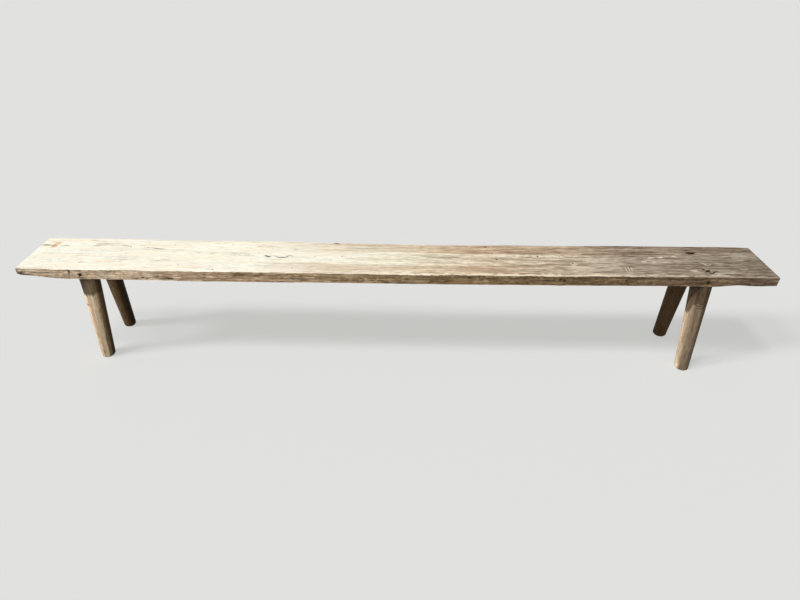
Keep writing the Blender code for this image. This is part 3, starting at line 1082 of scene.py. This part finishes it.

# Marks on the front face: the same, with the height instead of the place across. The dark
# marks over hollows and cracks, and along the bottom edge at the left end, paint the shade in them
FACE_MARKS = (
    (PALE, -1455, 427, 12, 5, 80, 6, 9), (PALE, -1430, 422, 20, 4, 60, 8, 9),
    # Painted shade below the curled underside at the left end
    (DARK, -1453, 416.5, 16, 6.5, 85, 5, 8), (DARK, -1425, 412, 26, 4.5, 85, 6, 8),
    (DARK, -1444, 409, 24, 6, 80, 6, 8), (PALE, -1370, 416, 50, 5, 40, 10, 9),
    (DARK, -1262, 430, 6, 15, 80, 6, 8), (PALE, -1247, 424, 8, 16, 60, 8, 9),
    (DARK, -1222, 416, 14, 7, 95, 6, 7), (DARK, -1222, 434, 15, 5, 60, 9, 8),
    (DARK, -1222, 402, 12, 6, 45, 9, 8), (RUST, -1190, 420, 14, 6, 60, 9, 9),
    (PALE, -1120, 408, 50, 10, 40, 12, 9), (DARK, -980, 409, 7, 5, 90, 8, 7),
    (DARK, -965, 402, 7, 4.5, 90, 8, 7), (DARK, -1004, 401, 12, 3.5, 80, 8, 7),
    (DARK, -925, 413, 12, 4.5, 70, 8, 7), (PALE, -955, 415, 30, 6, 45, 10, 9),
    (DARK, -876, 404.5, 16, 5.5, 95, 8, 7), (RUST, -895, 414, 10, 6, 60, 8, 8),
    (DARK, -740, 424, 8, 5, 75, 8, 8), (PALE, -711, 414, 18, 6, 60, 10, 9),
    (GREY, -608, 427, 34, 10, 70, 10, 9), (DARK, -620, 422, 10, 6, 45, 9, 8),
    (DARK, -518, 429, 14, 7, 55, 9, 8), (DARK, -440, 398, 60, 3, 45, 10, 8),
    (PALE, -400, 406, 50, 5, 40, 10, 9), (RUST, -460, 414, 60, 6, 45, 10, 9),
    (CREAM, -430, 425, 16, 7, 45, 12, 9), (CREAM, 24, 419, 14, 5, 40, 12, 9),
    (DARK, -10, 433, 60, 4, 50, 10, 8), (CREAM, 330, 414, 40, 5, 20, 12, 9),
    (RUST, 240, 408, 120, 8, 35, 10, 9), (DARK, 632, 420.5, 10, 5.5, 95, 6, 7),
    (DARK, 650, 419.5, 10, 6, 95, 6, 7), (DARK, 610, 418, 80, 8, 34, 12, 9),
    (CREAM, 620, 420, 12, 6, 30, 10, 9), (CREAM, 561, 415, 16, 6, 30, 10, 9),
    (DARK, 893, 422, 14, 13, 75, 9, 8), (CREAM, 975, 418, 55, 8, 32, 12, 9),
    (CREAM, 351, 436.5, 7, 4, 60, 10, 8), (CREAM, 452, 436.5, 12, 4, 60, 10, 8),
    (DARK, 970, 431, 60, 8, 45, 12, 8), (CREAM, 960, 419, 24, 5, 25, 10, 9),
    (DARK, 1082, 437, 5, 7, 60, 6, 8), (DARK, 1100, 435, 5, 8, 55, 6, 8),
    (DARK, 1122, 423, 9, 15, 35, 8, 8), (DARK, 1202, 419, 10, 8, 90, 5, 8),
    (DARK, 1170, 421, 50, 15, 28, 12, 9), (CREAM, 1250, 425, 45, 8, 25, 12, 9),
    (DARK, 1380, 418, 100, 24, 40, 10, 9), (CREAM, -400, 430, 40, 7, 55, 12, 9),
    (CREAM, 420, 431, 70, 6, 30, 12, 9), (CREAM, 600, 431, 70, 6, 26, 12, 9),
    (DARK, 590, 419, 60, 6, 25, 12, 9), (CREAM, 800, 431, 60, 5, 22, 12, 9),
    (DARK, 1000, 404, 80, 6, 24, 12, 9), (DARK, 1400, 404, 90, 9, 52, 10, 9),
    (PALE, -1400, 433, 60, 5, 50, 10, 9),
)


def add_marks(colour, place, rough, marks, upright=False):
    for paint, *lengths, strength, ragged, soft in marks:
        x, y, reach_x, reach_y = (length / 1000 for length in lengths)
        centre = (x, y, SEAT_HEIGHT)
        size = (1.25 * reach_x, 1.25 * reach_y, 0.02)
        if upright:
            centre = (x, seat_low.y, y)
            size = (1.2 * reach_x, 0.04, 1.2 * reach_y)
        spot = ragged_patch(place, centre, size, rough, 0.065 * ragged, soft / 10)
        mode = "MIX" if paint in (PALE, CHALK, CREAM) else "MULTIPLY"
        colour = mix(spot * (strength / 100), colour, paint, mode)
    return colour


def tanned_edges(x, y, wander, slow):
    """Where the top stayed tan: along both edges, from the middle to the right."""
    sway = (wander + slow - 1.0) * 0.011
    across = y - SEAT_MIDDLE_Y
    back = (across + sway).span(0.036, 0.050) * x.span(-0.70, 0.05)
    back = back * x.span(0.35, 0.95, 1.0, 0.65)
    front = (sway - across).span(0.052, 0.065) * x.span(-0.60, -0.25)
    front = front * x.span(0.25, 0.80, 1.0, 0.15)
    return calc("MAXIMUM", back, front) * wander.span(0.0, 1.0, 0.70)


PLANK_GRAIN = ((0.0, -0.03, SEAT_HEIGHT - 0.16), (0.0, math.pi / 2, 0.0))


@node_group
def weathered_top(place=ORIGIN):
    """The weathered top, with its painted sheen and the painted shade in its cracks and holes: its
    colour at each place, how streaked it is, and its relief.
    """
    x, y = axes(place)[:2]
    grain = along_grain(place, *PLANK_GRAIN)
    grain = bent_grain(grain, 6, x.span(0.75, 1.05, 0.006, 0.026))
    rings = growth_rings(grain, 44, 0.05, 3.5)
    broad = streaks(grain, 34, 2, 0, 3)
    crisp = streaks(grain, 110, 6, 41, 3, 0.42, 0.58)
    fine = streaks(grain, 140, 15, 3, 2, 0.40, 0.60)
    fibre = streaks(grain, 800, 25, 7)
    grit = streaks(grain, 120, 34, 13, 4, 0.38, 0.62)
    dirt = streaks(grain, 95, 17, 51, 4, 0.55, 0.66)
    scuffs = streaks(grain, 100, 12, 63, 4, 0.58, 0.68)
    warm = streaks(grain, 30, 5, 37, 3)
    slow = streaks(grain, 2.2, 2, 31)
    rough = streaks(grain, 95, 42, 71, 4, 0.25, 0.75)
    lines = drying_hairlines(grain, 60, 2.2, 0.012, 0.45)
    specks = scattered_specks(place, 45, 0.16, 0.16)

    bleach = sun_bleach(place)
    streak = weighed((rings, 0.22), (crisp, 0.33), (broad, 0.13), (fine, 0.26), (fibre, 0.14))
    streak = streak.span(0.20, 0.90)
    shadow = mix(bleach["wear"] * 0.88 + 0.12, (1.0, 1.0, 1.0), (0.46, 0.415, 0.365))
    top = tint(bleach["colour"], streak, shadow)
    top = tint(top, grit * x.span(-0.5, 0.6, 0.24, 0.80), (0.68, 0.64, 0.60))
    top = tint(top, dirt * x.span(-0.5, 1.0, 0.14, 0.75), (0.60, 0.55, 0.49))
    top = tint(top, warm * x.span(0.0, 0.6, 0.8, 0.15), (1.0, 0.955, 0.89))
    top = mix(scuffs * x.span(-0.2, 1.1, 0.1, 0.34), top, shade(226, 214, 194))
    top = tint(top, tanned_edges(x, y, broad, slow), (0.83, 0.735, 0.67))
    top = tint(top, lines * 0.6, (0.25, 0.21, 0.17))
    top = tint(top, specks * 0.65, (0.28, 0.24, 0.20))
    height = weighed((fibre, 0.35), (fine, 0.4), (crisp, 0.3), (rings, 0.2), (grit, 0.35),
                     (lines, -0.8), (specks, -1.5))
    top = add_marks(top, place, rough, MARKS)
    return {"colour": top, "streak": streak, "height": height, "grit": grit}


def dark_band(x, depth, wander):
    """Painted shade of a wandering hollow just below the front arris, right of the middle."""
    level = depth - (wander - 0.5) * 0.006
    band = level.span(0.011, 0.017, 1.0, 0.0) * level.span(0.003, 0.006)
    return band * (x.span(0.05, 0.35, 0.0, 0.7) * x.span(0.95, 1.15, 1.0, 0.4))


def inside_cuts(x, depth, to_edge, turned_up):
    """1 on what lies inside a crack or a hole in the top or in a long edge, where shade is painted."""
    in_top = calc("MAXIMUM", 1.0 - turned_up, depth.span(0.0022, 0.0045))
    in_top = in_top * to_edge.span(0.008, 0.012) * depth.span(0.022, 0.026, 1.0, 0.0)
    in_end = calc("ABSOLUTE", x).span(HALF_LENGTH - 0.008, HALF_LENGTH - 0.004, 1.0, 0.0)
    in_edge = to_edge.span(0.0030, 0.0050) * depth.span(0.004, 0.006)
    return calc("MAXIMUM", in_top * in_end, in_edge * depth.span(0.039, 0.042, 1.0, 0.0))


def seat_wood():
    """The plank: bleached pale on top, brown and rough on its sides and underneath, with light and
    shade painted on.
    """
    material, shader, place = new_wood("sun_bleached_plank", 0.25)
    x, y, z = axes(place)
    depth = SEAT_HEIGHT - z
    top = weathered_top(place)

    share = along_bench(x)
    torn = bent_grain(along_grain(place, *PLANK_GRAIN), 16, 0.022)
    rough = streaks(torn, 95, 9, 11, 4, 0.40, 0.60)
    flecks = streaks(torn, 210, 48, 17, 3, 0.5, 0.64)
    patches = streaks(torn, 34, 13, 23, 4, 0.42, 0.60)
    lumps = streaks(torn, 120, 60, 29, 4, 0.36, 0.64)
    chalk = streaks(torn, 90, 34, 57, 4, 0.56, 0.68)
    dark = weighed((rough, 0.38), (patches, 0.34), (lumps, 0.26))
    side = tint(ramp(share, SIDE_COLOURS), dark, (0.42, 0.36, 0.30))
    side = tint(side, flecks * 0.5, (0.30, 0.24, 0.19))
    side = mix(chalk * 0.45, side, ramp(share, CHALKED))
    # Painted shade just below the front arris
    side = tint(side, dark_band(x, depth, (lumps + patches) * 0.5), (0.42, 0.36, 0.29))
    side = add_marks(side, place, lumps, FACE_MARKS, upright=True)

    upward = axes(add_node("NewGeometry", tree=material.node_tree)["Normal"])[2]
    ragged = (lumps - 0.5) * 0.26
    turned_up = (upward + ragged).span(0.35, 0.70)
    high = (depth - ragged * 0.010).span(0.002, 0.006, 1.0, 0.0)
    on_top = turned_up * high
    colour = mix(on_top, side, top["colour"])
    to_edge = add_node("Attribute", tree=material.node_tree, attribute_name="to_edge")["Fac"]
    # A paler rim along the front arris: partly rubbed wear, partly a painted highlight where the arris
    # catches the light
    bites = streaks(place, 24, 24, 0, 3)
    rim = to_edge + (top["grit"] + bites - 1.0) * 0.008
    rubbed = rim.span(0.005, 0.014, 1.0, 0.0) * high * x.span(-0.35, 0.1, 0.1, 0.85)
    rubbed = rubbed * x.span(0.85, 1.25, 1.0, 0.30) * y.span(SEAT_MIDDLE_Y, 0.0, 0.0, 1.0)
    worn = mix(0.6, sun_bleach(place)["colour"], shade(240, 222, 194))
    colour = mix(rubbed, colour, worn)
    # Painted shade inside cracks and holes
    colour = tint(colour, inside_cuts(x, depth, to_edge, turned_up), (0.22, 0.18, 0.15))

    hewn_height = weighed((rough, 0.5), (lumps, 0.5), (flecks, -0.4))
    height = add_node("Mix", {0: on_top, 2: hewn_height, 3: top["height"]})[0]
    roughness = top["streak"].span(0.0, 1.0, 0.62, 0.85)
    finish_wood(shader, colour, roughness, height, 0.5, 0.0010)
    return material


# Colours round each leg, from its left side over its front to its right side, with light and shade
# painted in: lit on the left, shaded on the right and on the back legs under the seat
LEG_COLOURS = {
    "front_left": shades(
        (0, 229, 203, 173), (0.28, 225, 200, 171), (0.39, 210, 187, 159), (0.48, 208, 186, 158),
        (0.57, 243, 219, 186), (0.69, 255, 238, 202), (0.79, 249, 221, 183), (0.865, 214, 185, 148),
        (0.94, 165, 137, 103), (1, 115, 93, 67),
    ),
    "front_right": shades(
        (0, 206, 184, 157), (0.03, 225, 202, 173), (0.08, 194, 173, 147), (0.15, 165, 147, 124),
        (0.24, 149, 133, 110), (0.31, 134, 117, 96), (0.42, 127, 111, 92), (0.54, 146, 130, 108),
        (0.7, 153, 135, 113), (0.84, 132, 114, 93), (1, 95, 79, 62),
    ),
    "back_left": shades(
        (0, 101, 83, 62), (0.28, 113, 94, 69), (0.45, 134, 112, 82), (0.58, 150, 126, 91),
        (0.69, 163, 135, 97), (0.79, 151, 125, 89), (0.865, 128, 103, 71), (0.94, 99, 79, 54),
        (1, 56, 43, 28),
    ),
    "back_right": shades(
        (0, 96, 76, 52), (0.3, 106, 85, 58), (1, 118, 96, 66),
    ),
}

# The seat's shadow painted on both front legs: down to which height, how much further down
# towards the leg's left side, and what is left of the colour from left to right
Shelter = namedtuple("Shelter", "edge arch arch_to high colours")
SHELTERS = {
    "front_left": Shelter(0.311, 0.024, 0.20, 1.0, (
        (0.28, 0.105, 0.098, 0.088), (0.45, 0.25, 0.235, 0.21), (0.69, 0.26, 0.245, 0.22),
        (0.79, 0.38, 0.355, 0.32), (0.94, 0.48, 0.45, 0.405),
    )),
    "front_right": Shelter(0.318, 0.055, 0.36, 0.76, (
        (0.00, 0.23, 0.210, 0.180), (0.07, 0.30, 0.275, 0.240), (0.25, 0.375, 0.345, 0.305),
        (0.50, 0.49, 0.46, 0.41), (0.90, 0.72, 0.68, 0.62),
    )),
}


def to_the_right(grain):
    """Where a point lies round a leg: 0 on its left side and 1 on its right side."""
    outward = vector("NORMALIZE", vector("MULTIPLY", grain, (1.0, 1.0, 0.0)))
    return axes(outward)[0] * 0.5 + 0.5


def sheltered(wood, shelter, level, height, right):
    """Paint the seat's shadow on the wood below it."""
    level = level + right.span(0.0, shelter.arch_to, shelter.arch, 0.0)
    share = level.span(shelter.edge - 0.008, shelter.edge + 0.008)
    wood = tint(wood, share, ramp(right, shelter.colours))
    return tint(wood, height.span(shelter.edge, UNDERSIDE - 0.02), (shelter.high,) * 3)


def growth_arcs(wood, place, rough):
    """The arcs of a sawn-off branch just below the dark part of a leg."""
    reach = vector("DISTANCE", place, (1.203, -0.105, 0.338)) + rough * 0.001
    arcs = calc("SINE", reach * (2 * math.pi / 0.0100)).span(0.0, 0.7)
    spot = ragged_patch(place, (1.208, -0.105, 0.307), (0.030, 0.05, 0.020), rough, 0.2, 0.5)
    return tint(wood, arcs * spot, (0.36, 0.32, 0.28))


def leg_wood(leg):
    """A shaved leg: pale where it weathers, with light and shade painted round it and the seat's shadow
    painted below the seat.
    """
    material, shader, place = new_wood("shaved_leg_" + leg.name, 0.12)
    turn = tuple(leg_frame(leg).to_euler())
    grain = along_grain(place, tuple(leg_points(leg)[0]), turn)
    offset = 20.0 + 3.0 * leg.end + leg.side
    rings = growth_rings(grain, 75, 0.03, 2)
    broad = streaks(grain, 80, 5, offset, 3, 0.40, 0.60)
    fine = streaks(grain, 330, 12, offset + 3)
    fibre = streaks(grain, 1100, 40, offset)
    grit = streaks(grain, 170, 50, offset + 9, 4, 0.40, 0.62)
    lines = drying_hairlines(grain, 110, 6, 0.012, 0.5)
    specks = scattered_specks(place, 90, 0.16, 0.14)

    height = axes(place)[2]
    level = height + (broad - 0.5) * 0.008
    right = to_the_right(grain)
    # Light painted on the leg's left side and shade on its right side
    wood = ramp(right, LEG_COLOURS[leg.name])
    if leg.name == "front_right":
        wood = growth_arcs(wood, place, broad)
    # The seat's shadow painted on the front legs
    if leg.name in SHELTERS:
        wood = sheltered(wood, SHELTERS[leg.name], level, height, right)
    if leg.name == "front_left":
        wood = tint(wood, height.span(0.03, 0.30, 1.0, 0.0), (0.80, 0.79, 0.78))
        ring = calc("ABSOLUTE", level - 0.040).span(0.001, 0.003, 1.0, 0.0)
        wood = tint(wood, ring * broad, (0.66, 0.62, 0.56))
        chip = ragged_patch(place, (-1.244, -0.105, 0.265), (0.011, 0.024, 0.010), broad, 0.3, 0.8)
        wood = tint(wood, chip, (0.24, 0.19, 0.14))
    if leg.name == "front_right":
        toe = height.span(0.020, 0.065, 0.7, 0.0) * right.span(0.11, 0.19, 1.0, 0.0)
        wood = mix(toe * right.span(0.0, 0.03, 0.15, 1.0), wood, shade(240, 220, 190))
    if leg.name == "back_left":
        # Painted shade of the seat on the upper left of the back left leg
        high = height.span(0.12, 0.36) * right.span(0.40, 0.65, 1.0, 0.0)
        wood = tint(wood, high, (0.42, 0.40, 0.37))
        wood = tint(wood, high * height.span(0.28, 0.35), (0.66, 0.65, 0.63))
    if leg.side > 0:
        wood = tint(wood, height.span(0.02, 0.26, 0.70, 0.0), (0.45, 0.42, 0.40))
    streak = weighed((broad, 0.24), (fine, 0.24), (fibre, 0.12), (rings, 0.10), (grit, 0.34))
    shadow = (0.64, 0.58, 0.51) if leg.name == "front_left" else (0.50, 0.44, 0.37)
    wood = tint(wood, streak, shadow)
    wood = tint(wood, lines * 0.8, (0.25, 0.2, 0.16))
    wood = tint(wood, specks * 0.6, (0.25, 0.2, 0.16))

    depth = SEAT_HEIGHT - height
    end_grain = tint(weathered_top(place)["colour"], rings * 0.2, (0.70, 0.64, 0.57))
    # Painted shade on the tenon just below its end, in the gap round it
    end_grain = tint(end_grain, depth.span(0.0012, 0.0022, 0.0, 0.9), (0.12, 0.09, 0.07))
    colour = mix(depth.span(0.022, 0.026, 1.0, 0.0), wood, end_grain)
    relief = weighed((fibre, 0.3), (fine, 0.5), (grit, 0.4), (lines, -0.9), (specks, -1.2))
    finish_wood(shader, colour, streak.span(0.0, 1.0, 0.6, 0.82), relief, 0.45, 0.0008)
    return material


def wedge_wood():
    """Split hardwood wedges, weathered as the seat where they show."""
    material, shader, place = new_wood("split_wedge", 0.25)
    fine = streaks(place, 600, 60, 0, 3)
    # Painted shade, deeper the further down the wedge lies in its kerf
    sunk = (SEAT_HEIGHT - axes(place)[2]).span(0.002, 0.009, 0.25, 0.9)
    colour = tint(weathered_top(place)["colour"], sunk, (0.30, 0.23, 0.17))
    colour = tint(colour, fine * 0.6, (0.45, 0.38, 0.3))
    finish_wood(shader, colour, fine.span(0.0, 1.0, 0.65, 0.85), fine, 0.5, 0.0006)
    return material


def peg_wood():
    """Dark old pegs whose ends sit back in their holes."""
    material, shader, place = new_wood("dark_peg", 0.25)
    grain = along_grain(place, ORIGIN, (math.pi / 2, 0.0, 0.0))
    fine = streaks(grain, 900, 90, 0, 3)
    specks = scattered_specks(place, 500, 0.3, 0.4)
    colour = tint(mix(fine, shade(78, 62, 46), shade(46, 36, 28)), specks * 0.5, (0.3, 0.25, 0.2))
    finish_wood(shader, colour, fine.span(0.0, 1.0, 0.7, 0.9), fine, 0.5, 0.0006)
    return material


# Floor, light and camera

PALE_GROUND = shade(225, 225, 223)
SKY_LEVEL = 0.28
SKY_SLOPE = 0.9
SKY_COLOUR = (1.0, 0.99, 0.97)
FLOOR_SUNS = (
    ((0.40, 0.245, -1.0), 0.29),
    ((0.80, 0.345, -1.0), 0.16),
    ((1.45, 0.345, -1.0), 0.29),
)
FLOOR_SHADOW = 0.180
FLOOR_BOUNCE = 0.20
FLOOR_SIZE = 60.0


def end_nodes(holder, kind, unseen, seen):
    """One surface for what the camera sees, also in a mirror, and another for light."""
    tree = holder.node_tree
    path = add_node("LightPath", tree=tree)
    share = calc("MAXIMUM", path["Is Camera Ray"], path["Is Glossy Ray"])
    share = calc("MAXIMUM", share, path["Is Transmission Ray"])
    surface = add_node("MixShader", {0: share, 1: unseen, 2: seen})[0]
    add_node(kind, {"Surface": surface})


def floor_material():
    """Pale ground: what the camera sees of it glows a little, so only shadows shade it."""
    material = bpy.data.materials.new("pale_ground")
    material.use_nodes = True
    tree = material.node_tree
    tree.nodes.clear()
    floor_sun = sum(level for slant, level in FLOOR_SUNS)
    shaded = FLOOR_SHADOW / floor_sun
    lit = [shaded * (SKY_LEVEL * tint + floor_sun) for tint in SKY_COLOUR]
    glow = tuple(part - light for part, light in zip(PALE_GROUND, lit))
    diffuse = add_node("BsdfDiffuse", {"Color": (shaded,) * 3}, tree)[0]
    light = add_node("Emission", {"Color": glow, "Strength": 1.0}, tree)[0]
    shown = add_node("AddShader", {0: diffuse, 1: light})[0]
    bounced = add_node("BsdfDiffuse", {"Color": (FLOOR_BOUNCE,) * 3}, tree)[0]
    end_nodes(material, "OutputMaterial", bounced, shown)
    return material


def make_floor():
    bm = bmesh.new()
    bmesh.ops.create_grid(bm, x_segments=1, y_segments=1, size=FLOOR_SIZE)
    floor = add_object("studio_floor", bm, scene.collection)
    floor.data.materials.append(floor_material())
    floor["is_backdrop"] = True
    return floor


def make_world():
    world = bpy.data.worlds.new("studio_sky")
    scene.world = world
    world.use_nodes = True
    tree = world.node_tree
    tree.nodes.clear()
    from_right = axes(add_node("TexCoord", tree=tree)["Generated"])[0]
    strength = (1.0 - from_right * SKY_SLOPE) * SKY_LEVEL
    sky = add_node("Background", {"Color": SKY_COLOUR, "Strength": strength})[0]
    ground = add_node("Background", {"Color": PALE_GROUND, "Strength": 1.0}, tree)[0]
    end_nodes(world, "OutputWorld", sky, ground)


def make_sun(name, slant, level, spread, lit_objects):
    """A sun that lights only some objects, and gives level surfaces a level of light."""
    lamp = bpy.data.lights.new(name, "SUN")
    travel = Vector(slant).normalized()
    lamp.energy = level * math.pi / -travel.z
    lamp.angle = math.radians(spread)
    sun = bpy.data.objects.new(name, lamp)
    sun.rotation_euler = travel.to_track_quat("-Z", "Y").to_euler()
    scene.collection.objects.link(sun)
    receivers = bpy.data.collections.new(name + "_lights")
    for obj in lit_objects:
        receivers.objects.link(obj)
    sun.light_linking.receiver_collection = receivers


def make_camera():
    """The photograph's viewpoint: above the middle of the bench, looking down at it."""
    camera = bpy.data.cameras.new("photo_view")
    camera.sensor_width = 36.0
    camera.lens = 36.0 * 560.0 / 800.0
    pitch, roll, yaw = 0.5961, 0.0086, 0.0114
    ahead = Vector((0, math.cos(pitch), -math.sin(pitch)))
    right = Vector((1, 0, 0))
    turn = Matrix.Rotation(yaw, 3, "Z")
    level, lift, ahead = turn @ right, turn @ right.cross(ahead), turn @ ahead
    right = math.cos(roll) * level + math.sin(roll) * lift
    up = -math.sin(roll) * level + math.cos(roll) * lift
    view = bpy.data.objects.new("photo_view", camera)
    view.matrix_world = Matrix.Translation((0.0387, -1.9459, 1.5607)) @ (
        Matrix((right, up, -ahead)).transposed().to_4x4()
    )
    scene.collection.objects.link(view)
    scene.camera = view


scene.view_settings.view_transform = "Standard"

bench = [make_seat(seat_wood())]
wedge_material = wedge_wood()
peg_material = peg_wood()
for leg in LEGS:
    bench.append(make_leg(leg, leg_wood(leg)))
    bench.append(make_wedge(leg, wedge_material))
    bench.append(make_peg(leg, peg_material))

floor = make_floor()
make_world()
make_sun("low_sun", (1.7, 0.25, -1.0), 0.55, 2.0, bench)
make_sun("window_light", (0.6, 1.2, -1.0), 0.25, 45.0, bench)
front_left_leg = [piece for piece in bench if piece.name == "bench_leg_front_left"]
make_sun("left_leg_sun", (0.45, 0.55, -1.0), 0.36, 10.0, front_left_leg)
for number, (slant, level) in enumerate(FLOOR_SUNS):
    make_sun(f"soft_floor_sun_{number}", slant, level, 9.0, [floor])
make_camera()

looks_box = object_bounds()
corners = {"cad": cad_box, "looks": looks_box}
